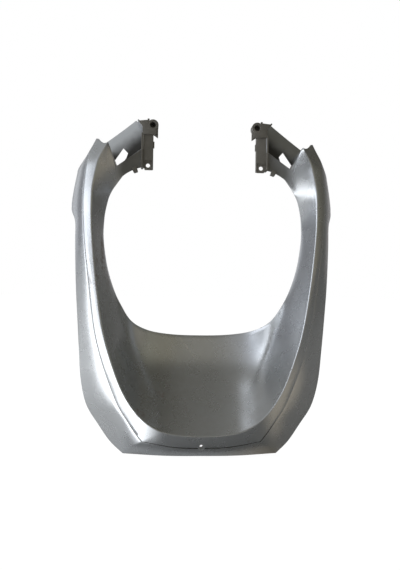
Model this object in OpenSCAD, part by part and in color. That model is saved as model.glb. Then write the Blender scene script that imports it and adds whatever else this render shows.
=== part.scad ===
// Front panel of a scooter: a one-piece moulded shell, U-shaped and open at the top.
// Millimetres. +Z is up, the front faces -Y and the panel is symmetric about X = 0.

/* [Overall] */
// Width over the ears of the flange
panel_w = 412; // [360:2:460]
// Height from the bottom edge of the flange to the tips of the arms
panel_h = 487; // [440:1:540]
// Wall of the moulding, measured square to the surface
wall = 2.6; // [2.2:0.1:3.2]
// How far the middle of the panel bows forward of its ends
bow = 8; // [2:1:14]

/* [Section] */
// Depth of the crease behind the crest
crease_d = 9; // [6:0.5:14]
// Depth of the flange's edge behind the crest
flange_d = 38; // [28:1:46]
// Depth of the opening's edge behind the crest at the middle of the scoop
scoop_d = 100; // [80:1:115]
// Depth of the fold between the scoop's floor and its back wall
fold_d = 88; // [70:1:98]
// How far the flange swells out between its edge and the crease
flange_swell = 1.6; // [0:0.2:3]

/* [Pockets] */
// Depth of the pocket floor behind the crest, at the pocket's inner corner
pocket_d = 44; // [40:1:50]
// How steeply the pocket floor falls back towards its open side
pocket_fall = 0.45; // [0.3:0.05:0.6]
// Wall of the pockets and brackets
rib = 2.4; // [2:0.1:3]

/* [Brackets] */
// Distance between the axes of the two upper sockets
socket_gap = 162; // [160:1:164]
// Height of the sockets' axes
socket_z = 256; // [254:1:258]
// Outer diameter of a socket
socket_od = 17; // [16.5:0.5:18.5]
// Bore of a socket
socket_id = 9; // [8:0.5:10]
// Depth of a socket's bore
socket_depth = 14; // [12:1:18]
// Distance between the axes of the two lower lug holes
lug_gap = 176; // [175:1:177]
// Height of the lug holes' axes
lug_z = 194; // [193:1:195]
// Bore of a lug hole
lug_id = 6.6; // [5.5:0.1:7]
// Depth of the brackets' front face behind the crest
bracket_d = 27; // [25:1:29]

/* [Bottom fixing] */
// Bore for the screw at the foot of the panel
foot_id = 5.5; // [4.5:0.1:6.5]
// Diameter of the seat around it
foot_seat = 10; // [9:0.5:12]
// Length of the bore below the seat
foot_length = 12; // [9:1:16]

/* [Smoothness] */
// Steps between two key stations along the shell
steps = 3; // [2:1:4]

/* [Hidden] */

$fn = 48;
kx = panel_w / 412;
kz = panel_h / 487;
painted = [0.62, 0.64, 0.66];
overspray = [0.33, 0.32, 0.31];

// Key stations run from the foot, up the right arm, to the fork under the pocket. Each rail lists
// x, z and a share of its depth at those stations, for the panel's right half.
rail_edge = [
    [0, -255, 0.76], [57, -254.8, 0.8], [120.7, -253.5, 1.1], [141.4, -236, 1.34], [161, -209.5, 1.5],
    [179.2, -179.2, 1.5], [187.7, -138.2, 1.32], [190.2, -93.4, 1.14], [192.7, -46, 1.03], [196, 10, 1],
    [198, 70, 1], [199, 106, 1.06], [206.5, 127, 1.5], [204, 154, 1.46], [198, 183, 1.3]
];
rail_lip = [
    [0, -252, 0.66], [56, -251.8, 0.7], [117.6, -249.8, 0.97], [136.4, -232.8, 1.2], [155, -206.2, 1.36],
    [173.2, -177, 1.36], [182.6, -137, 1.19], [186.2, -93.3, 1.02], [189.7, -46, 0.91], [193, 10, 0.88],
    [196, 70, 0.88], [197, 106, 0.9], [199.5, 127, 1], [198, 154, 0.98], [193, 183.5, 0.9]
];
rail_crease = [
    [0, -238, 1], [45, -236, 1.05], [90, -228.5, 1.3], [101, -215, 1.45], [113, -198, 1.5],
    [127, -176, 1.45], [140, -145, 1.35], [154, -104, 1.2], [165, -58, 1.1], [174, 10, 1.05],
    [181, 70, 1], [183.5, 106, 1], [184.5, 128, 1], [184, 154, 1], [181, 186, 1]
];
rail_crest = [
    [0, -219], [32, -217.5], [60, -212], [81, -201], [97, -187],
    [111, -169], [125, -143], [139, -104], [152, -56], [162.5, 13],
    [168.5, 72], [170.7, 107], [171, 129], [170, 157], [163.5, 191]
];
rail_fold = [
    [0, -141, 0.99], [31, -140.8, 0.985], [60, -138.5, 0.96], [84.5, -132, 0.9], [101, -120, 0.82],
    [112, -102, 0.72], [121, -78, 0.62], [127.5, -50, 0.53], [135, -20, 0.45], [148, 24, 0.36],
    [157.8, 75, 0.295], [158.6, 109, 0.278], [156, 130, 0.272], [150, 153, 0.261], [135, 191, 0.231]
];
rail_open = [
    [0, -71.5, 0.97], [30.7, -71, 0.965], [57.1, -68.7, 0.93], [79.2, -64.6, 0.87], [97.8, -57, 0.76],
    [109.8, -48.5, 0.68], [117.7, -38.7, 0.61], [124.9, -25.8, 0.54], [136.2, -3, 0.485], [147.7, 34, 0.42],
    [154.4, 78, 0.37], [153.9, 109, 0.34], [150.6, 130, 0.32], [144, 151, 0.305], [127, 176, 0.277]
];
corner_key = 2;

// Right-hand corners of the pocket, [x, z]: arm tip, fork, bracket, bracket head, top
tip = [147, 221];
fork = [135, 191];
elbow = [98, 219];
head = [97, 254];
peak = [104.5, 262.5];

last_key = len(rail_crest) - 1;
rows = last_key * steps;

// Depth that the bow adds at height z
function bowed(z) = bow * pow(z / 250, 2);

// A point of the panel from its plan place and its depth behind the crest
function place(p, d) = [p[0] * kx, d + bowed(p[1]), p[1] * kz];

// Catmull-Rom tangents at key i; a corner key takes the slope of the side it is seen from
function slope_out(r, i, corner) =
    i == 0 ? mirror_slope(r) :
    i == corner || i == len(r) - 1 ? r[min(i + 1, len(r) - 1)] - r[min(i, len(r) - 2)] :
    (r[i + 1] - r[i - 1]) / 2;
function slope_in(r, i, corner) =
    i == corner || i == len(r) - 1 ? r[i] - r[i - 1] : slope_out(r, i, corner);

// At the plane of symmetry a rail runs straight across
function mirror_slope(r) = [for (c = [0:len(r[0]) - 1]) c == 0 ? r[1][0] - r[0][0] : 0];

// Point of a rail at row n
function on_rail(r, n, corner = -1) =
    let (i = min(floor(n / steps), last_key - 1), t = n / steps - i)
    let (a = slope_out(r, i, corner), b = slope_in(r, i + 1, corner))
    r[i] * (2 * t * t * t - 3 * t * t + 1) + a * (t * t * t - 2 * t * t + t)
    + r[i + 1] * (3 * t * t - 2 * t * t * t) + b * (t * t * t - t * t);

function mix(a, b, t) = a * (1 - t) + b * t;

// Points from the crest over the soft fold to the opening's edge
fold_steps = 6;
wall_steps = 2;
function inner_wall(crest, fold, edge) =
    let (m = mix(crest, fold, 0.5), n = mix(fold, edge, 0.45))
    [
        for (k = [1:wall_steps]) mix(crest, m, k / wall_steps),
        for (k = [1:fold_steps])
            let (t = k / fold_steps) mix(mix(m, fold, t), mix(fold, n, t), t),
        edge
    ];
crest_round = 1.3;
flange_steps = 3;
seam = 2 + flange_steps + 2 + wall_steps + fold_steps / 2;

// One cross-section from the flange's edge to the opening's edge
function section(edge, lip, crease, crest, fold, open) =
    let (u = (crease - crest) / norm(crease - crest), v = (fold - crest) / norm(fold - crest))
    [
        edge,
        for (k = [0:flange_steps - 1])
            let (t = k / flange_steps)
            mix(lip, crease, t) + [0.6, -0.8, 0] * flange_swell * sin(180 * t),
        crease,
        mix(crease, crest, 0.5) + [0, -0.4, 0],
        crest + u * crest_round,
        crest + v * crest_round + [0, 0.2, 0],
        each inner_wall(crest, fold, open)
    ];

function with_depth(p, from, to) = place(p, mix(from, to, p[2]));
function row(n) =
    section(
        with_depth(on_rail(rail_edge, n, corner_key), 0, flange_d),
        with_depth(on_rail(rail_lip, n, corner_key), 0, flange_d),
        with_depth(on_rail(rail_crease, n, corner_key), 0, crease_d),
        place(on_rail(rail_crest, n), 0),
        with_depth(on_rail(rail_fold, n), 0, fold_d),
        with_depth(on_rail(rail_open, n), 0, scoop_d)
    );

// Thickness along Y that gives the wall its true thickness on a slope
function run(a, b) = norm([a[0] - b[0], a[2] - b[2]]);
function rise(a, b) = abs(a[1] - b[1]) / max(run(a, b), 0.01);
function thickness(r) = [
    for (j = [0:len(r) - 1])
        let (s = max(rise(r[max(j - 1, 0)], r[max(j, 1)]), rise(r[min(j, len(r) - 2)], r[min(j + 1, len(r) - 1)])))
        wall * min(sqrt(1 + s * s), 2.4)
];
function carry(r) = let (t = thickness(r)) [for (j = [0:len(r) - 1]) [r[j], t[j]]];
function slice(r, from, to) = [for (j = [from:to]) r[j]];

main_rows = [for (n = [0:rows]) carry(row(n))];
columns = len(main_rows[0]) - 1;
base = main_rows[rows];

// Top end of the arm: the crest runs out at the tip of the wall beside the pocket, and the rim dips
// between the crease and the crest
tip_dip = 3.5;
arm_end =
    let (edge = place([167, 230.5], 14), lip = place([166, 230.5], 12), crease = place([162.5, 229.5], 9))
    let (crest = place([148.5, 223], 0), point = place(tip, 4))
    [
        edge,
        for (k = [0:flange_steps - 1]) mix(lip, crease, k / flange_steps),
        crease,
        mix(crease, crest, 0.5) - [0, 0, tip_dip],
        for (k = [0:seam - 6]) mix(crest, point, k / (seam - 6))
    ];
arm_steps = 6;
crease_column = 1 + flange_steps;

// The flange drops away a little above the fork, where the ear ends
function drop(t) = let (u = min(max((t - 0.1) / 0.33, 0), 1)) u * u * (3 - 2 * u);
arm_rows =
    let (from = slice(base, 0, seam), wall_run = rib * 1.5)
    [
        for (k = [0:arm_steps])
            let (t = k / arm_steps)
            let (crease = mix(from[crease_column][0], arm_end[crease_column], t))
            [
                for (j = [0:seam])
                    let (hang = mix(from[j][0] - from[crease_column][0], arm_end[j] - arm_end[crease_column], drop(t)))
                    [
                        j < crease_column ? crease + hang : mix(from[j][0], arm_end[j], t),
                        mix(from[j][1], wall_run, t)
                    ]
            ]
    ];

// The strip between the arm's wall and the bracket, under the pocket
strip_end_top = place(elbow, 25);
strip_end_foot = place([97.5, 191], 28);
strip_steps = 5;
strip_rows =
    let (from = slice(base, seam, columns), last = columns - seam, bulge = [2.5, 0, 4.5])
    [
        for (k = [0:strip_steps])
            let (t = k / strip_steps)
            [
                for (j = [0:last])
                    let (goal = mix(strip_end_top, strip_end_foot, j / last))
                    [
                        mix(from[j][0], goal, t) + bulge * 4 * t * (1 - t) * j / last,
                        mix(from[j][1], rib * 1.5, t)
                    ]
            ]
    ];

// A patch is a grid of [point, thickness] with a front, a back and closed sides. Its first or last
// row stays open where another patch carries on from it.
function mirrored(g) =
    [for (i = [len(g) - 1:-1:0]) [for (c = g[i]) [[-c[0][0], c[0][1], c[0][2]], c[1]]]];
function patch_points(g) = [
    for (r = g, c = r) c[0],
    for (r = g, c = r) c[0] + [0, c[1], 0]
];
function quad(a, b, c, d) = [[a, b, c], [b, d, c]];
function quad_back(a, b, c, d) = [[a, c, b], [b, c, d]];
function patch_faces(g, start, open_first, open_last) =
    let (nr = len(g), nc = len(g[0]), at = function (i, j) start + i * nc + j)
    let (behind = function (i, j) nr * nc + at(i, j), m = nr - 1, n = nc - 1)
    [
        for (i = [0:m - 1], j = [0:n - 1]) each quad(at(i, j), at(i, j + 1), at(i + 1, j), at(i + 1, j + 1)),
        for (i = [0:m - 1], j = [0:n - 1])
            each quad_back(behind(i, j), behind(i, j + 1), behind(i + 1, j), behind(i + 1, j + 1)),
        for (i = [0:m - 1]) each quad(at(i, 0), at(i + 1, 0), behind(i, 0), behind(i + 1, 0)),
        for (i = [0:m - 1]) each quad_back(at(i, n), at(i + 1, n), behind(i, n), behind(i + 1, n)),
        if (!open_first)
            for (j = [0:n - 1]) each quad_back(at(0, j), at(0, j + 1), behind(0, j), behind(0, j + 1)),
        if (!open_last)
            for (j = [0:n - 1]) each quad(at(m, j), at(m, j + 1), behind(m, j), behind(m, j + 1))
    ];

// The skin: both halves of the U, the arms' tips and the strips, in one closed surface
module skin() {
    left_rows = mirrored([for (n = [1:rows]) main_rows[n]]);
    patches = [
        [[each left_rows, each main_rows], true, true],
        [arm_rows, true, false],
        [strip_rows, true, false],
        [mirrored(arm_rows), false, true],
        [mirrored(strip_rows), false, true]
    ];
    sizes = [for (p = patches) 2 * len(p[0]) * len(p[0][0])];
    starts = [for (k = 0, sum = 0; k < len(sizes); sum = sum + sizes[k], k = k + 1) sum];
    polyhedron(
        points = [for (p = patches) each patch_points(p[0])],
        faces = [for (k = [0:len(patches) - 1]) each patch_faces(patches[k][0], starts[k], patches[k][1], patches[k][2])],
        convexity = 8
    );
}

// A wall that stands back from the line p to q. Its front and back depths are given at both ends,
// and it is as thick as w to the left of that line, seen from the front. It runs on a little past
// both ends, into its neighbours.
module standing_wall(p, q, w, front, back) {
    along = (q - p) / norm(q - p);
    aside = [-along[1], along[0]] * w;
    over = along * 1.1;
    plan = [p - over, q + over, q + over + aside, p - over + aside];
    ends = [0, 1, 1, 0];
    polyhedron(
        points = [
            for (k = [0:3]) place(plan[k], front[ends[k]]),
            for (k = [0:3]) place(plan[k], back[ends[k]])
        ],
        faces = [
            [0, 1, 2], [0, 2, 3], [4, 6, 5], [4, 7, 6],
            for (k = [0:3]) let (n = (k + 1) % 4) each [[k, k + 4, n], [n, k + 4, n + 4]]
        ]
    );
}

// Depth of the pocket floor at a plan point: it starts nearly level and falls faster further out
fall_way = [0.62, 0.78];
floor_start = 0.22;
floor_sweep = 60;
function floor_at(p) =
    let (m = (p - elbow) * fall_way) pocket_d + pocket_fall * m * (floor_start + m / floor_sweep);

// Sloping floor of the pocket: it spans from the side under the arm's tip to the side along the
// bracket, and its outer edge hangs in a little
floor_tip_side = [[161, 231.5], [156, 221], [151.5, 210], [147, 199], [141, 187]];
floor_head_side = [[108, 273.5], [97.5, 259], [96, 245], [96, 231], [96, 216]];
module pocket_floor() {
    steps_across = 6;
    grid = [
        for (k = [0:steps_across])
            let (t = k / steps_across, sag = -0.6 * 4 * t * (1 - t))
            [
                for (j = [0:4])
                    let (p = mix(floor_tip_side[j], floor_head_side[j], t) + fall_way * sag * (1 - j / 4))
                    [place(p, floor_at(p)), rib]
            ]
    ];
    polyhedron(points = patch_points(grid), faces = patch_faces(grid, 0, false, false));
}

// Prism of a plan outline between two depths
module block(outline, front, back) {
    translate([0, back, 0])
        rotate([90, 0, 0])
            linear_extrude(back - front)
                polygon([for (p = outline) [p[0] * kx, p[1] * kz]]);
}

// Round pin or bore along Y
module along_y(x, z, d, front, back) {
    translate([x, back, z])
        rotate([90, 0, 0])
            cylinder(d = d, h = back - front);
}

module pocket() {
    floor_back = [for (p = [tip, fork, elbow, head, peak]) floor_at(p) + 1];
    difference() {
        pocket_floor();
        block([[140, 204], [127, 224.5], [119.5, 216], [122, 208], [126, 202], [136, 195]], 30, 90);
    }
    standing_wall(fork, mix(fork, tip, 0.9), -rib, [20, 7], [floor_back[1], mix(floor_back[1], floor_back[0], 0.9)]);
    standing_wall(elbow + [0, 1], fork, -rib, [26, 21], [floor_back[2], floor_back[1]]);
    standing_wall(head, elbow, -rib, [21, 21], [floor_back[3], floor_back[2]]);
    standing_wall(peak, head, -rib, [21, 21], [floor_back[4], floor_back[3]]);
}

socket_x = socket_gap / 2;
lug_x = lug_gap / 2;
bracket_front = bracket_d;

// Bracket beside the pocket: the head with its socket, the recessed web and the lower lug
module bracket() {
    block([[75, 241], [97, 241], [97, 254], [104, 262], [90, 263.5], [76, 260]], bracket_front, bracket_front + 6);
    block([[80, 201], [99, 201], [97.5, 245], [80, 245]], bracket_front + 2.5, bracket_front + 6);
    block([[81.5, 187], [93, 187], [93.5, 189.5], [98, 191], [98, 203], [81.5, 203]], bracket_front + 5, bracket_front + 8.5);
    block([[95.5, 191], [99, 191], [98.5, 244], [96.5, 244]], bracket_front, pocket_d + 7.3);
    block([[80, 188], [82, 188], [82, 245], [80, 245]], bracket_front + 4, bracket_front + 12);
    block([[78.4, 221], [81, 221], [81, 231], [78.4, 231]], bracket_front + 4, bracket_front + 9);
    block([[73, 252], [73, 237], [80.5, 242], [80.5, 252]], bracket_front + 3, bracket_front + 10);
    block([[86.5, 262], [89.5, 262], [89.5, 266], [86.5, 266]], bracket_front + 2, bracket_front + 6);
    block([[84, 199], [101, 199], [101, 202], [84, 202]], bracket_front + 4, bracket_front + 14);
}

module nub() {
    block([[103, 184], [109, 182], [113, 189], [106, 193]], 30, 39);
}

module half() {
    difference() {
        union() {
            pocket();
            bracket();
            nub();
            along_y(socket_x, socket_z, socket_od, bracket_front, bracket_front + socket_depth + 4);
        }
        along_y(socket_x, socket_z, socket_id, bracket_front - 2, bracket_front + socket_depth);
        along_y(lug_x, lug_z, lug_id, bracket_front, bracket_front + 20);
    }
}

// Screw seat at the foot, sunk into the crease, with its boss behind the wall
foot_z = -236.5;
foot_face = 19;
module foot_boss() {
    along_y(0, foot_z, foot_id + 2 * rib + 1.6, foot_face - 1, foot_face + foot_length);
}
module foot_hollow() {
    along_y(0, foot_z, foot_seat, -5, foot_face);
    along_y(0, foot_z, foot_id, foot_face - 2, foot_face + foot_length + 2);
}

// The frame's origin lies midway between the sockets, in the plane of the brackets' faces
module front_panel() {
    translate([0, -bracket_front, -socket_z]) {
        difference() {
            union() {
                color(painted) skin();
                color(painted) foot_boss();
            }
            foot_hollow();
        }
        color(overspray) half();
        color(overspray) mirror([1, 0, 0]) half();
    }
}

front_panel();
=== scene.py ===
import math

import bmesh
import bpy
from mathutils import Matrix, Vector


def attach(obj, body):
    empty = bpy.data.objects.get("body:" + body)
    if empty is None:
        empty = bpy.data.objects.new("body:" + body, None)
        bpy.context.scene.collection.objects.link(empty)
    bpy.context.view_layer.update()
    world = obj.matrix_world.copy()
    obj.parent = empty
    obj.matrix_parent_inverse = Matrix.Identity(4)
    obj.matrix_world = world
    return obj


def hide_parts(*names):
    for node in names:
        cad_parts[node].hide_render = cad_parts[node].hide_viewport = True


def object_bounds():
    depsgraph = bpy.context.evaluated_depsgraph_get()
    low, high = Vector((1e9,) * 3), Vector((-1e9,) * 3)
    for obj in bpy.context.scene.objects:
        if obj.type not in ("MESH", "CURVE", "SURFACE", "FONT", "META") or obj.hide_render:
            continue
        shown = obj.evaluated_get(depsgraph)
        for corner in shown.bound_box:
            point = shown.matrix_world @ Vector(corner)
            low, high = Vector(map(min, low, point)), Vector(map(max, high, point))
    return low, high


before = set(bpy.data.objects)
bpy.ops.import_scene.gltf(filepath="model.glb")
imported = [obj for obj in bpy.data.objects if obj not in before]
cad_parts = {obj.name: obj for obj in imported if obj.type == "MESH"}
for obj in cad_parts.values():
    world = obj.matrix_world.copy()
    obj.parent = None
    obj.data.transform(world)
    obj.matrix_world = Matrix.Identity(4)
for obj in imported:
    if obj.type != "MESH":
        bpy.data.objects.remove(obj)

cad_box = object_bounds()

# The part's own millimetre plan: X across, Z up from the middle of the panel, depth behind the crest
MM = 0.001
BRACKET_DEPTH = 27.0
SOCKET_HEIGHT = 256.0
BOW = 8.0
WALL = 2.6
RIB = 2.4
CREASE_DEPTH = 9.0
FLANGE_DEPTH = 38.0
SCOOP_DEPTH = 100.0
FOLD_DEPTH = 88.0
POCKET_DEPTH = 44.0
POCKET_FALL = 0.45

# Rails of the right half at stations from the foot to the fork under the pocket: x, z and depth weight
RAIL_EDGE = [
    (0, -255, 0.76), (57, -254.8, 0.8), (120.7, -253.5, 1.1), (141.4, -236, 1.34), (161, -209.5, 1.5),
    (179.2, -179.2, 1.5), (187.7, -138.2, 1.32), (190.2, -93.4, 1.14), (192.7, -46, 1.03), (196, 10, 1),
    (198, 70, 1), (199, 106, 1.06), (206.5, 127, 1.5), (204, 154, 1.46), (198, 183, 1.3),
]
RAIL_LIP = [
    (0, -252, 0.66), (56, -251.8, 0.7), (117.6, -249.8, 0.97), (136.4, -232.8, 1.2), (155, -206.2, 1.36),
    (173.2, -177, 1.36), (182.6, -137, 1.19), (186.2, -93.3, 1.02), (189.7, -46, 0.91), (193, 10, 0.88),
    (196, 70, 0.88), (197, 106, 0.9), (199.5, 127, 1), (198, 154, 0.98), (193, 183.5, 0.9),
]
RAIL_CREASE = [
    (0, -238, 1), (45, -236, 1.05), (90, -228.5, 1.3), (101, -215, 1.45), (113, -198, 1.5),
    (127, -176, 1.45), (140, -145, 1.35), (154, -104, 1.2), (165, -58, 1.1), (174, 10, 1.05),
    (181, 70, 1), (183.5, 106, 1), (184.5, 128, 1), (184, 154, 1), (181, 186, 1),
]
RAIL_CREST = [
    (0, -219, 0), (32, -217.5, 0), (60, -212, 0), (81, -201, 0), (97, -187, 0),
    (111, -169, 0), (125, -143, 0), (139, -104, 0), (152, -56, 0), (162.5, 13, 0),
    (168.5, 72, 0), (170.7, 107, 0), (171, 129, 0), (170, 157, 0), (163.5, 191, 0),
]
RAIL_FOLD = [
    (0, -141, 0.99), (31, -140.8, 0.985), (60, -138.5, 0.96), (84.5, -132, 0.9), (101, -120, 0.82),
    (112, -102, 0.72), (121, -78, 0.62), (127.5, -50, 0.53), (135, -20, 0.45), (148, 24, 0.36),
    (157.8, 75, 0.295), (158.6, 109, 0.278), (156, 130, 0.272), (150, 153, 0.261), (135, 191, 0.231),
]
RAIL_OPEN = [
    (0, -71.5, 0.97), (30.7, -71, 0.965), (57.1, -68.7, 0.93), (79.2, -64.6, 0.87), (97.8, -57, 0.76),
    (109.8, -48.5, 0.68), (117.7, -38.7, 0.61), (124.9, -25.8, 0.54), (136.2, -3, 0.485), (147.7, 34, 0.42),
    (154.4, 78, 0.37), (153.9, 109, 0.34), (150.6, 130, 0.32), (144, 151, 0.305), (127, 176, 0.277),
]
# Station of the flange's lower corner, where the outer rails turn sharply
CORNER_KEY = 2
STEPS = 8
# A step inward and a slightly longer one back, so that an evened rail keeps its size
EVENING_SHARES = (0.5, -0.52)
EVENING_PASSES = 60
# Passes that ease the bend between the wall and the scoop
SOFT_PASSES = 40
ROWS = (len(RAIL_CREST) - 1) * STEPS

TIP = (147, 221)
FORK = (135, 191)
ELBOW = (98, 219)
HEAD = (97, 254)
PEAK = (104.5, 262.5)


def place(x, z, depth):
    """Point of the row's frame, in metres, from its plan place and its depth behind the crest."""
    bowed = BOW * (z / 250) ** 2
    return Vector((x, depth + bowed - BRACKET_DEPTH, z - SOCKET_HEIGHT)) * MM


def tangents(rail, i, corner):
    """Slopes of a rail where it reaches key i and where it leaves it."""
    last = len(rail) - 1
    if i == 0:
        slope = (rail[1] - rail[0]) * 1.0
        slope.y = slope.z = 0
        return slope, slope
    if i == last:
        return rail[i] - rail[i - 1], rail[i] - rail[i - 1]
    if i == corner:
        return rail[i] - rail[i - 1], rail[i + 1] - rail[i]
    middle = (rail[i + 1] - rail[i - 1]) / 2
    return middle, middle


def hermite(a, b, slope_a, slope_b, t):
    """Point of the smooth curve from a to b with the given slopes at its ends."""
    t2, t3 = t * t, t * t * t
    start = a * (2 * t3 - 3 * t2 + 1) + slope_a * (t3 - 2 * t2 + t)
    return start + b * (3 * t2 - 2 * t3) + slope_b * (t3 - t2)


def sampled(keys, corner=-1):
    """Rail through its keys, in plan, with its small unevenness smoothed away between the corners."""
    rail = [Vector(k) for k in keys]
    points = []
    for n in range(ROWS + 1):
        i = min(n // STEPS, len(rail) - 2)
        t = n / STEPS - i
        points.append(
            hermite(rail[i], rail[i + 1], tangents(rail, i, corner)[1], tangents(rail, i + 1, corner)[0], t)
        )
    fixed = {0, ROWS, corner * STEPS}
    for share in EVENING_SHARES * EVENING_PASSES:
        before = [p.copy() for p in points]
        for n in range(1, ROWS):
            if n not in fixed:
                points[n] = mix(before[n], (before[n - 1] + before[n + 1]) / 2, share)
    return points


def mix(a, b, t):
    return a * (1 - t) + b * t


# Columns of the cross-section, from the flange's edge in to the opening's edge
FLANGE_STEPS = 8
GROOVE_STEPS = 3
RIM_STEPS = 6
CREST_STEPS = 6
WALL_STEPS = 8
FOLD_STEPS = 14
BACK_STEPS = 6
SHOULDER_COLUMN = 1 + FLANGE_STEPS
CREASE_COLUMN = SHOULDER_COLUMN + GROOVE_STEPS
SEAM = CREASE_COLUMN + RIM_STEPS + CREST_STEPS + WALL_STEPS + FOLD_STEPS // 2
FLANGE_SWELL = 1.6 * MM
SWELL_WAY = Vector((0.6, -0.8, 0))
RIM_SWELL = 0.5 * MM
CREST_ROUND = 3.0 * MM
GROOVE = 2.8 * MM
# Points of the groove, as shares of its size outward from the crease and back
GROOVE_SHOULDER, GROOVE_BED, GROOVE_SIDE = (0.75, 0.85), (0.3, 1.05), (0.12, 0.35)
# Share of the groove that is left up the sides, and the stations over which it thins out
GROOVE_THIN, GROOVE_FADE = 0.18, 3
# Shares of the wall and of the scoop at which the bend between them starts and ends
BEND_START, BEND_END = 0.5, 0.45


def bezier(a, b, c, t):
    """Point of the curve from a to c that b pulls towards itself."""
    return mix(mix(a, b, t), mix(b, c, t), t)


def groove_point(crease, aside, groove, shares):
    """Point of the groove beside the crease."""
    outward, back = shares
    return crease + aside * outward * groove + Vector((0, back * groove, 0))


def section(edge, lip, crease, crest, fold, opening, groove):
    """One cross-section of the skin's front face."""
    out = (crease - crest).normalized()
    aside = Vector((out.x, 0, out.z)).normalized()
    inward = (fold - crest).normalized()
    crest_out = crest + out * CREST_ROUND
    crest_in = crest + inward * CREST_ROUND
    shoulder = groove_point(crease, aside, groove, GROOVE_SHOULDER)
    middle = mix(crest_in, fold, BEND_START)
    turn = mix(fold, opening, BEND_END)
    points = [edge]
    for k in range(FLANGE_STEPS + 1):
        t = k / FLANGE_STEPS
        swell = SWELL_WAY * FLANGE_SWELL * math.sin(math.pi * t)
        points.append(mix(lip, shoulder, t) + swell)
    points.append(groove_point(crease, aside, groove, GROOVE_BED))
    points.append(groove_point(crease, aside, groove, GROOVE_SIDE))
    for k in range(RIM_STEPS):
        t = k / RIM_STEPS
        points.append(mix(crease, crest_out, t) + Vector((0, -RIM_SWELL * math.sin(math.pi * t), 0)))
    points += [bezier(crest_out, crest, crest_in, k / CREST_STEPS) for k in range(CREST_STEPS + 1)]
    points += [mix(crest_in, middle, k / WALL_STEPS) for k in range(1, WALL_STEPS + 1)]
    points += [bezier(middle, fold, turn, k / FOLD_STEPS) for k in range(1, FOLD_STEPS + 1)]
    points += [mix(turn, opening, k / BACK_STEPS) for k in range(1, BACK_STEPS + 1)]
    return points


def main_rows():
    """Cross-sections of the right half, from the foot to the fork."""
    edge, lip = sampled(RAIL_EDGE, CORNER_KEY), sampled(RAIL_LIP, CORNER_KEY)
    crease, crest = sampled(RAIL_CREASE, CORNER_KEY), sampled(RAIL_CREST)
    fold, opening = sampled(RAIL_FOLD), sampled(RAIL_OPEN)
    rows = []
    for n in range(ROWS + 1):
        rows.append(
            section(
                place(edge[n].x, edge[n].y, edge[n].z * FLANGE_DEPTH),
                place(lip[n].x, lip[n].y, lip[n].z * FLANGE_DEPTH),
                place(crease[n].x, crease[n].y, crease[n].z * CREASE_DEPTH),
                place(crest[n].x, crest[n].y, 0),
                place(fold[n].x, fold[n].y, fold[n].z * FOLD_DEPTH),
                place(opening[n].x, opening[n].y, opening[n].z * SCOOP_DEPTH),
                GROOVE * mix(1, GROOVE_THIN, smooth_step((n / STEPS - CORNER_KEY) / GROOVE_FADE)),
            )
        )
    return softened(rows)


def softened(rows):
    """Eases the bend between the wall and the scoop so that its highlight is broad, less so near the fork."""
    first, last = CREASE_COLUMN + RIM_STEPS + CREST_STEPS + 3, len(rows[0]) - 2
    for _ in range(SOFT_PASSES):
        before = [list(row) for row in rows]
        across = [Vector((-p.x, p.y, p.z)) for p in before[1]]
        for n in range(ROWS):
            below = before[n - 1] if n else across
            share = 0.5 * smooth_step((ROWS - n) / (4 * STEPS))
            for j in range(first, last):
                around = (below[j] + before[n + 1][j] + before[n][j - 1] + before[n][j + 1]) / 4
                rows[n][j] = mix(before[n][j], around, share)
    return rows


def steepness(a, b):
    """Fall along Y for each step across the front."""
    return abs(a.y - b.y) / max(math.hypot(a.x - b.x, a.z - b.z), 0.01 * MM)


# Largest distance through the wall along Y, in wall thicknesses
THICKEST = 2.4


def thickness(row):
    """Distance along Y that gives the wall its true thickness on each slope."""
    slopes = [steepness(a, b) for a, b in zip(row, row[1:])]
    for j in range(SHOULDER_COLUMN, CREASE_COLUMN):
        slopes[j] = slopes[CREASE_COLUMN]
    depths = []
    for j in range(len(row)):
        slope = max(slopes[max(j - 1, 0)], slopes[min(j, len(slopes) - 1)])
        depths.append(WALL * MM * min(math.sqrt(1 + slope * slope), THICKEST))
    after = depths[1:] + depths[-1:]
    before = depths[:1] + depths[:-1]
    return [(a + b + c) / 3 for a, b, c in zip(before, depths, after)]


def smooth_step(t):
    t = min(max(t, 0), 1)
    return t * t * (3 - 2 * t)


ARM_STEPS = 14
STRIP_STEPS = 16
TIP_DIP = 3.5 * MM
# Ends of the rails at the arm's tip, and of the strip beside the bracket: x, z and depth
ARM_EDGE, ARM_LIP = (167, 230.5, 14), (166, 230.5, 12)
ARM_CREASE, ARM_CREST = (162.5, 229.5, 9), (148.5, 223, 0)
STRIP_TOP, STRIP_FOOT = (*ELBOW, 25), (97.5, 191, 28)
# Share of the way up the arm where its flange starts to shrink, and over which it does
DROP_START, DROP_SPAN = 0.1, 0.33


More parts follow.
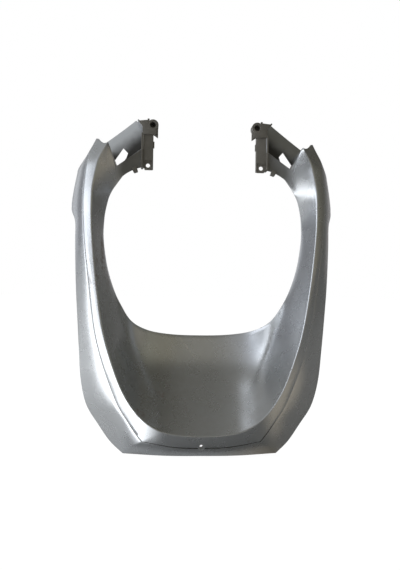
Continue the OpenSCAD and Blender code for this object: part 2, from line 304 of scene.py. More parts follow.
def arm_rows(before, base, depths):
    """Rows over the arm's tip: the crest runs out at the tip of the wall beside the pocket."""
    edge, lip, crease, crest = [place(*end) for end in (ARM_EDGE, ARM_LIP, ARM_CREASE, ARM_CREST)]
    point = place(*TIP, 4)
    end = [edge] + [mix(lip, crease, k / CREASE_COLUMN) for k in range(CREASE_COLUMN - 1)]
    for k in range(RIM_STEPS):
        t = k / RIM_STEPS
        end.append(mix(crease, crest, t) - Vector((0, 0, TIP_DIP * math.sin(math.pi * t))))
    rest = SEAM - len(end)
    end += [mix(crest, point, k / rest) for k in range(rest + 1)]
    rows = []
    for k in range(ARM_STEPS + 1):
        t = k / ARM_STEPS
        drop = smooth_step((t - DROP_START) / DROP_SPAN)
        row = []
        for j in range(SEAM + 1):
            span = end[j] - base[j]
            start = (base[j] - before[j]).normalized() * span.length
            fork_side = smooth_step((j - CREASE_COLUMN) / (SEAM - CREASE_COLUMN))
            row.append(hermite(base[j], end[j], mix(start, span, fork_side), span, t))
        for j in range(CREASE_COLUMN):
            hang = mix(base[j] - base[CREASE_COLUMN], end[j] - end[CREASE_COLUMN], drop)
            row[j] = row[CREASE_COLUMN] + hang if k else base[j]
        rows.append(list(zip(row, [mix(depths[j], RIB * 1.5 * MM, t) for j in range(SEAM + 1)])))
    return rows


def strip_rows(before, base, depths):
    """Rows of the strip between the arm's wall and the bracket, under the pocket."""
    top, foot = place(*STRIP_TOP), place(*STRIP_FOOT)
    last = len(base) - 1 - SEAM
    rows = []
    for k in range(STRIP_STEPS + 1):
        t = k / STRIP_STEPS
        row = []
        for j in range(last + 1):
            a, b = base[SEAM + j], mix(top, foot, j / last)
            span = b - a
            start = (a - before[SEAM + j]).normalized() * span.length * 0.4
            level = Vector((-span.length, 0, 0.1 * span.length))
            share = j / last
            row.append(
                (
                    hermite(a, b, mix(span, start, share), mix(span, level, share), t),
                    mix(depths[SEAM + j], RIB * 1.5 * MM, t),
                )
            )
        rows.append(row)
    return rows


def mirrored(rows):
    return [[(Vector((-p.x, p.y, p.z)), d) for p, d in row] for row in reversed(rows)]


# Places in the list of materials; the third also paints shade deep in the pockets, and the last is painted
# shade in the crease
PAINT, RAW, SPRAYED_AND_SHADED, CREASE_SHADE = 0, 1, 2, 3


class Welder:
    """Collects faces by their corner points, so that patches join where their points agree."""

    def __init__(self):
        self.index = {}
        self.points = []
        self.faces = []
        self.kinds = []

    def corner(self, p):
        key = (round(p.x, 7), round(p.y, 7), round(p.z, 7))
        if key not in self.index:
            self.index[key] = len(self.points)
            self.points.append(p)
        return self.index[key]

    def face(self, *corners, kind=PAINT):
        ids = list(dict.fromkeys(self.corner(p) for p in corners))
        if len(ids) > 2:
            self.faces.append(ids)
            self.kinds.append(kind)

    def patch(self, rows, open_first=False, open_last=False, kind_at=lambda i, j: PAINT):
        """Closed slab over a grid of (front point, depth), open where another patch carries on.

        kind_at gives the material of the front face at a row and column.
        """
        front = [[p for p, _ in row] for row in rows]
        back = [[p + Vector((0, d, 0)) for p, d in row] for row in rows]
        m, n = len(rows) - 1, len(rows[0]) - 1
        for i in range(m):
            for j in range(n):
                quad = front[i][j], front[i + 1][j], front[i + 1][j + 1], front[i][j + 1]
                self.face(*quad, kind=kind_at(i, j))
                self.face(back[i][j], back[i][j + 1], back[i + 1][j + 1], back[i + 1][j])
            self.face(front[i][0], back[i][0], back[i + 1][0], front[i + 1][0])
            self.face(front[i][n], front[i + 1][n], back[i + 1][n], back[i][n])
        for j in range(n):
            if not open_first:
                self.face(front[0][j], front[0][j + 1], back[0][j + 1], back[0][j])
            if not open_last:
                self.face(front[m][j], back[m][j], back[m][j + 1], front[m][j + 1])

    def mesh(self, name):
        made = bpy.data.meshes.new(name)
        made.from_pydata(self.points, [], self.faces)
        made.polygons.foreach_set("material_index", self.kinds)
        made.validate()
        made.update()
        return made


def to_object(name, mesh):
    made = bpy.data.objects.new(name, mesh)
    bpy.context.scene.collection.objects.link(made)
    return made


def round_edges(mesh, width, segments, least_angle):
    """Rounds the mesh's hard edges."""
    bm = bmesh.new()
    bm.from_mesh(mesh)
    hard = [e for e in bm.edges if e.is_manifold and e.calc_face_angle() > math.radians(least_angle)]
    bmesh.ops.bevel(
        bm, geom=hard, offset=width, offset_type="OFFSET", segments=segments, profile=0.5, affect="EDGES",
        clamp_overlap=True,
    )
    bmesh.ops.remove_doubles(bm, verts=bm.verts, dist=1e-7)
    bm.to_mesh(mesh)
    bm.free()


def finish_mesh(mesh, sharp_angle=40):
    for polygon in mesh.polygons:
        polygon.use_smooth = True
    mesh.set_sharp_from_angle(angle=math.radians(sharp_angle))


def keep_within(mesh, half_width):
    """Keeps the rounded flange within the solid's width."""
    for v in mesh.vertices:
        v.co.x = min(max(v.co.x, -half_width), half_width)


def crease_shade_at(i, j):
    """Painted shade for the faces of the crease along the foot and a short way up the right side."""
    along = ROWS - CORNER_KEY * STEPS <= i < ROWS + (CORNER_KEY + 3) * STEPS
    return CREASE_SHADE if along and SHOULDER_COLUMN <= j < CREASE_COLUMN else PAINT


def skin_mesh():
    rows = main_rows()
    depths = [thickness(row) for row in rows]
    grid = [list(zip(row, depth)) for row, depth in zip(rows, depths)]
    arm = arm_rows(rows[-2], rows[-1], depths[-1])
    strip = strip_rows(rows[-2], rows[-1], depths[-1])
    welder = Welder()
    # The crease's faces along the foot and up the right side get painted shade
    welder.patch(mirrored(grid[1:]) + grid, True, True, crease_shade_at)
    welder.patch(arm, True, False)
    welder.patch(strip, True, False)
    welder.patch(mirrored(arm), False, True)
    welder.patch(mirrored(strip), False, True)
    return welder.mesh("shell")


def plain(x, z, depth):
    """Point of the row's frame, in metres, with no bow."""
    return Vector((x, depth - BRACKET_DEPTH, z - SOCKET_HEIGHT)) * MM


# Rounding of the edges in millimetres, and the least angle of an edge that is rounded
PRISM_BEVEL = 0.45
WALL_BEVEL = 0.7
PRISM_ANGLE = 30
WALL_OVERLAP = 1.1


def prism(front, back, bevel):
    """Closed prism between two rings of corners that run anticlockwise as seen from the front."""
    n = len(front)
    made = bpy.data.meshes.new("prism")
    faces = [list(range(n)), list(range(2 * n - 1, n - 1, -1))]
    faces += [[k, k + n, (k + 1) % n + n, (k + 1) % n] for k in range(n)]
    made.from_pydata(front + back, [], faces)
    if bevel:
        round_edges(made, bevel * MM, 2, PRISM_ANGLE)
    return made


def turned(outline):
    """The outline's corners in anticlockwise order."""
    area = sum(a[0] * b[1] - b[0] * a[1] for a, b in zip(outline, outline[1:] + outline[:1]))
    return outline if area > 0 else outline[::-1]


def block(outline, front, back, bevel=PRISM_BEVEL):
    """Straight block between two depths over an outline of the plan."""
    outline = turned(outline)
    return prism([plain(x, z, front) for x, z in outline], [plain(x, z, back) for x, z in outline], bevel)


def round_bar(x, z, profile, sides=48):
    """Solid of revolution about a line along Y, from its (depth, radius) profile."""
    rings = []
    for depth, radius in profile:
        angles = [2 * math.pi * k / sides for k in range(sides)]
        rings.append([plain(x + radius * math.cos(a), z + radius * math.sin(a), depth) for a in angles])
    points = [p for ring in rings for p in ring]
    faces = [list(range(sides)), list(range(len(points) - 1, len(points) - 1 - sides, -1))]
    for r in range(len(rings) - 1):
        for k in range(sides):
            a, b = r * sides + k, r * sides + (k + 1) % sides
            faces.append([a, a + sides, b + sides, b])
    made = bpy.data.meshes.new("round_bar")
    made.from_pydata(points, [], faces)
    return made


def standing_wall(p, q, front, back):
    """Wall along a line of the plan; its front and back run from one depth to another."""
    p, q = Vector(p), Vector(q)
    along = (q - p).normalized()
    aside = Vector((along.y, -along.x)) * RIB
    over = along * WALL_OVERLAP
    corners = [p - over, q + over, q + over + aside, p - over + aside]
    ends = [0, 1, 1, 0]
    fronts = [place(c.x, c.y, front[e]) for c, e in zip(corners, ends)]
    backs = [place(c.x, c.y, back[e]) for c, e in zip(corners, ends)]
    return prism(fronts[::-1], backs[::-1], WALL_BEVEL)


# Direction in the plan in which the pocket's floor falls away
FALL_WAY = Vector((0.62, 0.78))
FLOOR_START = 0.22
FLOOR_SWEEP = 60


def floor_at(p):
    """Depth of the pocket's floor: it starts nearly level at the elbow and falls faster further out."""
    m = (Vector(p) - Vector(ELBOW)).dot(FALL_WAY)
    return POCKET_DEPTH + POCKET_FALL * m * (FLOOR_START + m / FLOOR_SWEEP)


FLOOR_SAG = 0.6
FLOOR_TIP_SIDE = [(161, 231.5), (156, 221), (151.5, 210), (147, 199), (141, 187)]
FLOOR_HEAD_SIDE = [(108, 273.5), (97.5, 259), (96, 245), (96, 231), (96, 216)]


def along_line(points, t):
    """Point at a share of the way along a line of stations."""
    s = t * (len(points) - 1)
    i = min(int(s), len(points) - 2)
    return mix(Vector(points[i]), Vector(points[i + 1]), s - i)


def floor_mesh(across=28, down=20):
    """Curved floor of the pocket, its upper edge drawn in a little."""
    rows = []
    for k in range(across + 1):
        t = k / across
        sag = -FLOOR_SAG * 4 * t * (1 - t)
        row = []
        for j in range(down + 1):
            u = j / down
            p = mix(along_line(FLOOR_TIP_SIDE, u), along_line(FLOOR_HEAD_SIDE, u), t)
            p = p + FALL_WAY * sag * (1 - u)
            row.append((place(p.x, p.y, floor_at(p)), RIB * MM))
        rows.append(row)
    welder = Welder()
    welder.patch(rows)
    made = welder.mesh("floor")
    round_edges(made, 0.4 * MM, 2, 50)
    return made


def flipped(mesh):
    """Mirror image across the symmetry plane."""
    made = mesh.copy()
    for v in made.vertices:
        v.co.x = -v.co.x
    made.flip_normals()
    return made


def combined(base, others, operation):
    """Boolean of a mesh with each of the others, in their order."""
    holder = to_object("base", base)
    tools = []
    for mesh in others:
        tool = to_object("tool", mesh)
        tools.append(tool)
        modifier = holder.modifiers.new("step", "BOOLEAN")
        modifier.operation = operation
        modifier.solver = "MANIFOLD"
        modifier.material_mode = "INDEX"
        modifier.object = tool
    seen = bpy.context.evaluated_depsgraph_get()
    result = bpy.data.meshes.new_from_object(holder.evaluated_get(seen))
    for made in [holder, *tools]:
        bpy.data.objects.remove(made)
    return result


def of_material(mesh, index=None):
    """Gives the mesh the panel's materials and, where an index is given, every face that one of them."""
    for material in MATERIALS:
        mesh.materials.append(material)
    if index is not None:
        mesh.polygons.foreach_set("material_index", [index] * len(mesh.polygons))
    return mesh


FOOT_SCREW = (0, -236.5)
SOCKET = (81, 256)
LUG = (88, 194)
# Solids of the bracket: outline, front depth, back depth and rounding of the edges
BRACKET_BLOCKS = [
    ([(75, 241), (97, 241), (97, 254), (104, 262), (90, 263.5), (76, 260)], 27, 33, 0.5),
    ([(80, 201), (99, 201), (97.5, 245), (80, 245)], 29.5, 33, 0.4),
    ([(81.5, 187), (93, 187), (93.5, 189.5), (98, 191), (98, 203), (81.5, 203)], 32, 35.5, 0.4),
    ([(95.5, 191), (99, 191), (98.5, 244), (96.5, 244)], 27, 51.3, 0.5),
    ([(80, 188), (82, 188), (82, 245), (80, 245)], 31, 39, 0.4),
    ([(78.4, 221), (81, 221), (81, 231), (78.4, 231)], 31, 36, 0.4),
    ([(73, 252), (73, 237), (80.5, 242), (80.5, 252)], 30, 37, 0.4),
    ([(86.5, 262), (89.5, 262), (89.5, 266), (86.5, 266)], 29, 33, 0.4),
    ([(84, 199), (101, 199), (101, 202), (84, 202)], 31, 41, 0.4),
    ([(103, 184), (109, 182), (113, 189), (106, 193)], 30, 39, 0.5),
]
SEE_THROUGH = [(140, 204), (127, 224.5), (119.5, 216), (122, 208), (126, 202), (136, 195)]


def half_meshes():
    """Solids of the right pocket and bracket, and the bores cut into them."""
    window = of_material(block(SEE_THROUGH, 30, 90, 0), SPRAYED_AND_SHADED)
    floor = combined(of_material(floor_mesh(), SPRAYED_AND_SHADED), [window], "DIFFERENCE")
    places = {"tip": TIP, "fork": FORK, "elbow": ELBOW, "head": HEAD, "peak": PEAK}
    depth = {name: floor_at(p) + 1 for name, p in places.items()}
    share = 0.9
    partway = mix(Vector(FORK), Vector(TIP), share)
    elbow = (ELBOW[0], ELBOW[1] + 1)
    walls = [
        standing_wall(FORK, partway, (20, 7), (depth["fork"], mix(depth["fork"], depth["tip"], share))),
        standing_wall(elbow, FORK, (26, 21), (depth["elbow"], depth["fork"])),
        standing_wall(HEAD, ELBOW, (21, 21), (depth["head"], depth["elbow"])),
        standing_wall(PEAK, HEAD, (21, 21), (depth["peak"], depth["head"])),
    ]
    solids = [floor] + [of_material(wall, SPRAYED_AND_SHADED) for wall in walls]
    solids += [of_material(block(*spec), RAW) for spec in BRACKET_BLOCKS]
    boss = [(27, 8.0), (27.5, 8.5), (44.5, 8.5), (45, 8.0)]
    solids.append(of_material(round_bar(*SOCKET, boss), RAW))
    bores = [
        of_material(round_bar(*SOCKET, [(25, 5.2), (27, 5.0), (27.6, 4.5), (41, 4.5)]), RAW),
        of_material(round_bar(*LUG, [(27, 3.3), (48, 3.3)]), RAW),
    ]
    return solids, bores


# Longest edge of a sliver, in metres
SLIVER = 2e-6


def without_slivers(mesh):
    """Takes out the faces without area that the booleans leave."""
    bm = bmesh.new()
    bm.from_mesh(mesh)
    bmesh.ops.triangulate(bm, faces=bm.faces)
    bmesh.ops.remove_doubles(bm, verts=bm.verts, dist=SLIVER)
    bmesh.ops.dissolve_degenerate(bm, edges=bm.edges, dist=SLIVER)
    twins = {}
    for face in bm.faces:
        twins.setdefault(frozenset(face.verts), []).append(face)
    flat = [face for faces in twins.values() if len(faces) > 1 for face in faces]
    bmesh.ops.delete(bm, geom=flat, context="FACES")
    bm.to_mesh(mesh)
    bm.free()
    return mesh


def panel_mesh():
    """The whole moulding as one closed mesh."""
    shell = of_material(skin_mesh())
    round_edges(shell, 0.6 * MM, 2, 55)
    boss = of_material(round_bar(*FOOT_SCREW, [(18, 5.95), (30.6, 5.95), (31, 5.5)]), PAINT)
    seat = of_material(round_bar(*FOOT_SCREW, [(-5, 5), (19, 5)]), PAINT)
    bore = of_material(round_bar(*FOOT_SCREW, [(16, 2.75), (33, 2.75)]), RAW)
    body = combined(combined(shell, [boss], "UNION"), [seat, bore], "DIFFERENCE")
    solids, bores = half_meshes()
    pocket = combined(combined(solids[0], solids[1:], "UNION"), bores, "DIFFERENCE")
    return without_slivers(combined(body, [pocket, flipped(pocket)], "UNION"))


class Graph:
    """Builds a node tree; every call adds a node and returns one of its outputs."""

    def __init__(self, tree):
        self.tree = tree
        tree.nodes.clear()

    def add(self, kind, inputs=(), out=0, **settings):
        made = self.tree.nodes.new("ShaderNode" + kind)
        for name, value in settings.items():
            setattr(made, name, value)
        for name, value in dict(inputs).items():
            if isinstance(value, bpy.types.NodeSocket):
                self.tree.links.new(value, made.inputs[name])
            else:
                made.inputs[name].default_value = value
        return made.outputs[out] if made.outputs else None

    def math(self, operation, a, b=0.0, c=0.0):
        return self.add("Math", {0: a, 1: b, 2: c}, operation=operation)

    def vector(self, operation, a, b=(0, 0, 0), out=0):
        return self.add("VectorMath", {0: a, 1: b}, out=out, operation=operation)

    def fade(self, value, low, high, start=0.0, end=1.0):
        """Smooth step of a value from low to high."""
        inputs = {"Value": value, "From Min": low, "From Max": high, "To Min": start, "To Max": end}
        return self.add("MapRange", inputs, interpolation_type="SMOOTHSTEP")

    def noise(self, coords, scale, detail=3.0, roughness=0.5):
        inputs = {"Vector": coords, "Scale": scale, "Detail": detail, "Roughness": roughness}
        return self.add("TexNoise", inputs)

    def stretched(self, coords, scale):
        return self.vector("MULTIPLY", coords, scale)

    def mixed(self, share, a, b):
        """Colour a turning into colour b."""
        made = self.tree.nodes.new("ShaderNodeMix")
        made.data_type = "RGBA"
        for socket, value in zip((made.inputs[0], made.inputs[6], made.inputs[7]), (share, a, b)):
            if isinstance(value, bpy.types.NodeSocket):
                self.tree.links.new(value, socket)
            else:
                socket.default_value = value if isinstance(value, float) else (*value, 1.0)
        return made.outputs[2]

    def near(self, coords, place, radius, soft):
        """1 inside a ball, fading to 0 over its soft edge."""
        away = self.vector("DISTANCE", coords, place, out="Value")
        return self.fade(away, radius, radius + soft, 1.0, 0.0)

    def line(self, coords, a, b, width, soft):
        """1 along a short straight line, fading to 0 beside it."""
        a, b = Vector(a), Vector(b)
        span = b - a
        offset = self.vector("SUBTRACT", coords, tuple(a))
        share = self.vector("DOT_PRODUCT", offset, tuple(span / span.length_squared), out="Value")
        share = self.math("MINIMUM", self.math("MAXIMUM", share), 1.0)
        foot = self.add("VectorMath", {0: tuple(span), "Scale": share}, operation="SCALE")
        away = self.vector("DISTANCE", offset, foot, out="Value")
        return self.fade(away, width, width + soft, 1.0, 0.0)

    def bump(self, height, distance, strength, normal=None):
        inputs = {"Height": height, "Distance": distance, "Strength": strength}
        if normal is not None:
            inputs["Normal"] = normal
        return self.add("Bump", inputs)


def new_material(name):
    made = bpy.data.materials.new(name)
    made.use_nodes = True
    graph = Graph(made.node_tree)
    coords = graph.add("TexCoord", out="Object")
    return made, graph, coords


def shaded(graph, inputs):
    surface = graph.add("BsdfPrincipled", inputs)
    graph.add("OutputMaterial", {"Surface": surface})


# Colours of the paint, of what lies on it, of the bare plastic, of the painted shade deep in the pockets and
# of the painted shade in the crease
SILVER = (0.50, 0.515, 0.53)
SILVER_CLOUD = (0.44, 0.45, 0.46)
FLAKE = (0.66, 0.68, 0.70)
BARE = (0.115, 0.112, 0.10)
DUST = (0.26, 0.235, 0.20)
SMUDGE = (0.16, 0.10, 0.085)
SCRATCHED = (0.62, 0.62, 0.61)
PLASTIC = (0.175, 0.166, 0.148)
PLASTIC_HAZE = (0.235, 0.222, 0.198)
PLASTIC_GRAIN = (0.25, 0.235, 0.21)
# Near-black painted shade deep in the lamp pockets
POCKET_PAINTED_SHADE = (0.012, 0.013, 0.014)
# Near-black painted shade for the crease, in a darker and a lighter tone
CREASE_SHADE_DARK = (0.020, 0.020, 0.018)
CREASE_SHADE_LIGHT = (0.045, 0.045, 0.042)

# Places of the marks on the paint, in metres: a ball's middle, its radius and its soft edge
SCUFF_PLACES = [
    ((-0.160, -0.007, -0.190), 0.010, 0.014),
    ((-0.158, -0.009, -0.213), 0.010, 0.012),
    ((-0.154, -0.011, -0.240), 0.012, 0.014),
    ((-0.094, -0.015, -0.440), 0.004, 0.008),
    ((-0.062, 0.029, -0.421), 0.004, 0.008),
]
# Ends of each scratch, its half width and its soft edge
SCRATCHES = [
    ((-0.108, 0.042, -0.331), (-0.098, 0.048, -0.350), 0.0005, 0.0008),
    ((-0.032, 0.070, -0.332), (-0.004, 0.066, -0.367), 0.0008, 0.0016),
]


def dusty(graph, coords, strength):
    """Thin uneven dust that settles on what faces up."""
    up = graph.add("SeparateXYZ", {0: graph.add("NewGeometry", out="Normal")}, out="Z")
    patches = graph.noise(coords, 46, 6, 0.62)
    specks = graph.noise(coords, 520, 2, 0.6)
    film = graph.math("MULTIPLY", graph.fade(up, -0.1, 0.9), graph.fade(patches, 0.38, 0.68))
    grains = graph.math("MULTIPLY", graph.fade(specks, 0.60, 0.72), graph.fade(patches, 0.35, 0.7))
    return graph.math("MULTIPLY", graph.math("ADD", film, graph.math("MULTIPLY", grains, 0.5)), strength)


def flakes(graph, coords):
    """Fine sparkle of the metallic paint."""
    return graph.noise(coords, 2600, 1, 0.4)


def worn_bare(graph, coords):
    """Places beside the pockets where the paint thins out into bare plastic."""
    x, _, z = [graph.add("SeparateXYZ", {0: coords}, out=n) for n in range(3)]
    beside = graph.fade(graph.math("ABSOLUTE", x), 0.142, 0.124)
    return graph.math("MULTIPLY", graph.math("MULTIPLY", beside, graph.fade(z, -0.096, -0.072)), 0.85)


def scuffed(graph, coords):
    """Smudges at their places, broken up into blotches and smears."""
    blotches = graph.noise(coords, 130, 5, 0.6)
    smears = graph.noise(graph.stretched(coords, (60, 60, 16)), 1, 4, 0.55)
    scuff = graph.math("ADD", *[graph.near(coords, *spec) for spec in SCUFF_PLACES[:2]])
    for spec in SCUFF_PLACES[2:]:
        scuff = graph.math("MAXIMUM", scuff, graph.near(coords, *spec))
    return graph.math("MULTIPLY", scuff, graph.fade(graph.math("MULTIPLY", blotches, smears), 0.22, 0.36))


def scratched(graph, coords):
    """Short straight scratches, uneven along their length."""
    scratch = graph.line(coords, *SCRATCHES[0])
    for spec in SCRATCHES[1:]:
        scratch = graph.math("MAXIMUM", scratch, graph.line(coords, *spec))
    return graph.math("MULTIPLY", scratch, graph.fade(graph.noise(coords, 300, 3), 0.35, 0.6))


def painted():
    """Silver metallic paint with a clear coat, dusty, a little scuffed and worn bare beside the pockets."""
    made, graph, coords = new_material("silver_paint")
    cloud = graph.noise(coords, 9, 4)
    flake = flakes(graph, coords)
    colour = graph.mixed(graph.fade(cloud, 0.3, 0.7, 0.0, 0.22), SILVER, SILVER_CLOUD)
    colour = graph.mixed(graph.fade(flake, 0.52, 0.75, 0.0, 0.30), colour, FLAKE)
    bare = worn_bare(graph, coords)
    colour = graph.mixed(bare, colour, BARE)
    dust = dusty(graph, coords, 0.2)
    colour = graph.mixed(dust, colour, DUST)
    scuff = scuffed(graph, coords)
    colour = graph.mixed(graph.math("MULTIPLY", scuff, 0.6), colour, SMUDGE)
    scratch = scratched(graph, coords)
    colour = graph.mixed(graph.math("MULTIPLY", scratch, 0.55), colour, SCRATCHED)
    worn = graph.math("MAXIMUM", graph.math("MULTIPLY", dust, 0.9), graph.math("MAXIMUM", scuff, bare))
    polish = graph.fade(graph.noise(coords, 34, 5), 0.3, 0.7, 0.24, 0.30)
    rough = graph.math("ADD", polish, graph.math("MULTIPLY", worn, 0.25))
    ripple = graph.noise(coords, 260, 2, 0.4)
    normal = graph.bump(ripple, 0.00003, 0.25)
    normal = graph.bump(flake, 0.00001, 0.25, normal)
    normal = graph.bump(graph.math("MULTIPLY", scratch, -1.0), 0.00006, 0.5, normal)
    shaded(graph, {
        "Base Color": colour,
        "Metallic": graph.math("SUBTRACT", 0.82, graph.math("MULTIPLY", worn, 0.7)),
        "Roughness": rough,
        "Normal": normal,
        "Coat Weight": 0.45,
        "Coat Roughness": 0.12,
        "Coat IOR": 1.5,
    })
    return made


def plastic_colour(graph, coords):
    """Colour of raw dark plastic with a light haze of overspray, and its grain."""
    haze = graph.noise(coords, 70, 5, 0.6)
    grain = graph.noise(coords, 900, 3, 0.6)
    colour = graph.mixed(graph.fade(haze, 0.35, 0.7, 0.0, 0.5), PLASTIC, PLASTIC_HAZE)
    return graph.mixed(graph.fade(grain, 0.55, 0.75, 0.0, 0.35), colour, PLASTIC_GRAIN), grain


def raw_plastic():
    """Unpainted plastic of the brackets."""
    made, graph, coords = new_material("dark_plastic")
    colour, grain = plastic_colour(graph, coords)
    dust = dusty(graph, coords, 0.4)
    colour = graph.mixed(dust, colour, DUST)
    rough = graph.math("ADD", graph.fade(grain, 0.3, 0.7, 0.46, 0.58), graph.math("MULTIPLY", dust, 0.3))
    shaded(graph, {
        "Base Color": colour,
        "Roughness": rough,
        "Normal": graph.bump(grain, 0.00005, 0.5),
        "Metallic": 0.12,
        "Specular IOR Level": 0.45,
    })
    return made


def sprayed_and_shaded_plastic():
    """Paint at the pocket's outer edge that thins out into raw dark plastic in its depth, where painted shade
    darkens it almost to black.
    """
    made, graph, coords = new_material("thin_paint_and_shade")
    x, y, z = [graph.add("SeparateXYZ", {0: coords}, out=n) for n in range(3)]
    beside = graph.math("SUBTRACT", graph.math("ABSOLUTE", x), ELBOW[0] * MM)
    beside = graph.math("MULTIPLY", beside, FALL_WAY.x)
    above = graph.math("MULTIPLY", graph.math("SUBTRACT", z, (ELBOW[1] - SOCKET_HEIGHT) * MM), FALL_WAY.y)
    along = graph.math("ADD", beside, above)
    wander = graph.math("MULTIPLY", graph.math("SUBTRACT", graph.noise(coords, 60, 4), 0.5), 0.012)
    paint = graph.fade(graph.math("ADD", along, wander), 0.010, 0.038)
    front = graph.fade(y, 0.004, 0.010, 1.0, 0.0)
    paint = graph.math("MAXIMUM", paint, front)
    raw, grain = plastic_colour(graph, coords)
    flake = flakes(graph, coords)
    silver = graph.mixed(graph.fade(flake, 0.52, 0.75, 0.0, 0.3), SILVER, FLAKE)
    # Deep in the pocket the raw plastic is mixed almost to black: painted shade
    colour = graph.mixed(paint, graph.mixed(0.85, raw, POCKET_PAINTED_SHADE), silver)
    shaded(graph, {
        "Base Color": colour,
        "Metallic": graph.math("MULTIPLY", paint, 0.75),
        "Roughness": graph.fade(grain, 0.3, 0.7, 0.36, 0.46),
        "Normal": graph.bump(grain, 0.00003, 0.35),
        "Coat Weight": 0.2,
        "Coat Roughness": 0.15,
    })
    return made


def painted_crease_shade():
    """Painted shade in the crease: a near-black colour in patches on the crease's faces."""
    made, graph, coords = new_material("crease_painted_shade")
    patches = graph.noise(coords, 90, 4)
    colour = graph.mixed(graph.fade(patches, 0.35, 0.65), CREASE_SHADE_DARK, CREASE_SHADE_LIGHT)
    shaded(graph, {"Base Color": colour, "Roughness": 0.7, "Specular IOR Level": 0.3})
    return made


MATERIALS = [painted(), raw_plastic(), sprayed_and_shaded_plastic(), painted_crease_shade()]

# The photograph's viewing place and angle
CAMERA_PLACE = (-0.0804, -1.077, -0.256)
CAMERA_YAW, CAMERA_PITCH, CAMERA_ROLL = 4.0, 0.56, -0.83
FOCAL_PIXELS, LONG_SIDE, SENSOR = 700.0, 570.0, 36.0


def add_camera():
    yaw, pitch, roll = [math.radians(a) for a in (CAMERA_YAW, CAMERA_PITCH, CAMERA_ROLL)]
    look = Vector((math.sin(yaw) * math.cos(pitch), math.cos(yaw) * math.cos(pitch), math.sin(pitch)))
    level = Vector((math.cos(yaw), -math.sin(yaw), 0))
    above = level.cross(look)
    right = level * math.cos(roll) - above * math.sin(roll)
    up = level * math.sin(roll) + above * math.cos(roll)
    made = bpy.data.objects.new("camera", bpy.data.cameras.new("camera"))
    bpy.context.scene.collection.objects.link(made)
    turn = Matrix((right, up, -look)).transposed()
    made.matrix_world = Matrix.Translation(CAMERA_PLACE) @ turn.to_4x4()
    made.data.sensor_width = SENSOR
    made.data.lens = FOCAL_PIXELS / LONG_SIDE * SENSOR
    bpy.context.scene.camera = made


add_camera()

panel = to_object("front_panel_moulding", panel_mesh())
keep_within(panel.data, cad_box[1][0])
finish_mesh(panel.data)
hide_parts("front_panel")
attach(panel, "root")


def seeing_rays(graph):
    """Two outputs: 1 for the camera's own rays, and 1 for those that come by a gloss or through a glass."""
    camera_ray = graph.add("LightPath", out="Is Camera Ray")
    path = camera_ray.node.outputs
    return camera_ray, graph.math("MAXIMUM", path["Is Glossy Ray"], path["Is Transmission Ray"])


# Light of the room by direction: degrees from the camera's side round to the left, and its colour
ROOM = [
    (-180, (0.60, 0.61, 0.63)),
    (-150, (0.34, 0.33, 0.33)),
    (-115, (0.13, 0.13, 0.12)),
    (-80, (0.14, 0.13, 0.10)),
    (-50, (0.38, 0.37, 0.29)),
    (-20, (0.36, 0.33, 0.24)),
    (10, (0.45, 0.44, 0.41)),
    (35, (0.80, 0.82, 0.87)),
    (52, (1.40, 1.48, 1.62)),
    (66, (2.50, 2.60, 2.76)),
    (90, (2.40, 2.50, 2.66)),
    (100, (0.90, 0.95, 1.05)),
    (110, (0.25, 0.26, 0.28)),
    (124, (0.20, 0.20, 0.22)),
    (145, (0.70, 0.72, 0.76)),
    (180, (0.60, 0.61, 0.63)),
]
CEILING_START, CEILING_FULL = 0.10, 0.60
CEILING_LEFT = (1.25, 1.29, 1.34)
CEILING_MIDDLE = (0.21, 0.204, 0.18)
CEILING_RIGHT = (0.10, 0.095, 0.075)


def add_world():
    """White background in a room with a wide window and a bright ceiling on its left, dim on its right."""
    world = bpy.data.worlds.new("studio")
    bpy.context.scene.world = world
    world.use_nodes = True
    graph = Graph(world.node_tree)
    way = graph.add("TexCoord", out="Generated")
    x, y, z = [graph.add("SeparateXYZ", {0: way}, out=n) for n in range(3)]
    turn = graph.math("ARCTAN2", graph.math("MULTIPLY", x, -1.0), graph.math("MULTIPLY", y, -1.0))
    place_on_ramp = graph.math("MULTIPLY_ADD", turn, 0.5 / math.pi, 0.5)
    room = graph.add("ValToRGB", {"Fac": place_on_ramp})
    ramp = room.node.color_ramp
    ramp.interpolation = "LINEAR"
    while len(ramp.elements) < len(ROOM):
        ramp.elements.new(0.5)
    for element, (degrees, colour) in zip(ramp.elements, ROOM):
        element.position = degrees / 360 + 0.5
        element.color = (*colour, 1)
    ceiling = graph.mixed(graph.fade(x, -0.1, 0.4), CEILING_MIDDLE, CEILING_RIGHT)
    skylight = graph.math("MULTIPLY", graph.fade(x, -0.16, -0.55), graph.fade(z, 0.76, 0.90, 0.18, 1.0))
    ceiling = graph.mixed(skylight, ceiling, CEILING_LEFT)
    room = graph.mixed(graph.fade(z, CEILING_START, CEILING_FULL), room, ceiling)
    camera_ray, gloss = seeing_rays(graph)
    backdrop = graph.fade(y, 0.94, 0.99)
    white = graph.math("MAXIMUM", camera_ray, graph.math("MULTIPLY", gloss, backdrop))
    colour = graph.mixed(white, room, (1.0, 1.0, 1.0))
    graph.add("OutputWorld", {"Surface": graph.add("Background", {"Color": colour, "Strength": 1.0})})


# Lamps: name, place, side of the square, power in watts and colour
LAMPS = [
    ("window", (-1.6, -0.2, 0.0), 1.2, 13, (0.94, 0.97, 1.0)),
    ("fill", (0.7, -1.9, 0.8), 1.4, 1, (1.0, 0.97, 0.93)),
    ("back", (0.5, 2.0, 0.9), 1.4, 14, (1.0, 0.98, 0.95)),
]
LAMP_AIM = (0, 0, -0.25)


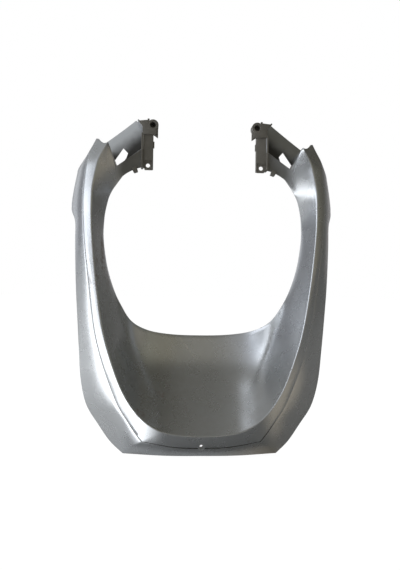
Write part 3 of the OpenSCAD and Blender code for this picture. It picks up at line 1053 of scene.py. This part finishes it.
def add_lamp(name, place_at, side, power, colour):
    """Square lamp that lights the panel and does not show in reflections."""
    light = bpy.data.lights.new(name, "AREA")
    light.shape = "RECTANGLE"
    light.size = light.size_y = side
    light.energy = power
    light.color = colour
    made = bpy.data.objects.new(name, light)
    bpy.context.scene.collection.objects.link(made)
    made.visible_glossy = False
    made.location = place_at
    made.rotation_euler = (Vector(LAMP_AIM) - Vector(place_at)).to_track_quat("-Z", "Y").to_euler()


add_world()
for lamp in LAMPS:
    add_lamp(*lamp)

# Just under the panel's lowest point
FLOOR_LEVEL = -0.5114
FLOOR_HALF = 30.0
FLOOR_GREY = (0.45, 0.45, 0.45, 1.0)
FLOOR_WHITE = (1.0, 1.0, 1.0, 1.0)
COOL_GLOW = (0.96, 0.98, 1.0)
WARM_GLOW = (1.0, 0.84, 0.60)
WINDOW_GLOW = 3.6
FAR_GLOW = 0.42


def floor_glow(graph, x, y):
    """Glow for reflections: strong in front on the window's side, faint behind and towards the right."""
    toward_window = graph.fade(graph.math("MULTIPLY_ADD", x, -0.2, y), -0.3, 0.0)
    front = graph.fade(y, -0.008, -0.032)
    sunny = graph.math("MULTIPLY", graph.math("MULTIPLY", front, graph.fade(x, -0.06, -0.15)), toward_window)
    far_right = graph.math("MULTIPLY", graph.fade(x, 1.5, 3.0), graph.fade(y, -0.5, -1.2))
    behind = graph.math("ADD", graph.fade(x, 0.17, 0.06, 0.0, 0.24), graph.fade(x, -0.05, -0.4, 0.0, 0.26))
    behind = graph.math("MULTIPLY", graph.fade(y, -0.01, 0.012), behind)
    near_right = graph.math("MULTIPLY", graph.fade(x, 0.13, 0.2), graph.fade(x, 0.6, 0.35))
    near_right = graph.math("MULTIPLY", near_right, graph.fade(y, 0.03, -0.015, 0.0, 0.30))
    faint = graph.math("ADD", behind, near_right)
    nearby = graph.math("MULTIPLY_ADD", sunny, WINDOW_GLOW, faint)
    return graph.math("MULTIPLY_ADD", far_right, FAR_GLOW, nearby)


def add_floor():
    """Wide floor that looks white to the camera and keeps the light it sends up to the panel modest."""
    corners = [(x * FLOOR_HALF, y * FLOOR_HALF) for x, y in ((-1, -1), (1, -1), (1, 1), (-1, 1))]
    mesh = bpy.data.meshes.new("floor")
    mesh.from_pydata([(x, y, FLOOR_LEVEL) for x, y in corners], [], [(0, 1, 2, 3)])
    made = to_object("floor", mesh)
    material = bpy.data.materials.new("floor")
    material.use_nodes = True
    graph = Graph(material.node_tree)
    camera_ray, gloss = seeing_rays(graph)
    lit = graph.add("BsdfDiffuse", {"Color": FLOOR_GREY})
    x, y, _ = [graph.add("SeparateXYZ", {0: graph.add("TexCoord", out="Object")}, out=n) for n in range(3)]
    tint = graph.mixed(graph.fade(x, 0.0, 0.15), COOL_GLOW, WARM_GLOW)
    strength = graph.math("MULTIPLY", gloss, floor_glow(graph, x, y))
    glow = graph.add("Emission", {"Color": tint, "Strength": strength})
    bright = graph.add("Emission", {"Color": FLOOR_WHITE, "Strength": 1.3})
    surface = graph.add("AddShader", {0: lit, 1: glow})
    surface = graph.add("MixShader", {0: graph.math("MULTIPLY", camera_ray, 0.75), 1: surface, 2: bright})
    graph.add("OutputMaterial", {"Surface": surface})
    mesh.materials.append(material)


add_floor()

bpy.context.scene.view_settings.view_transform = "Standard"
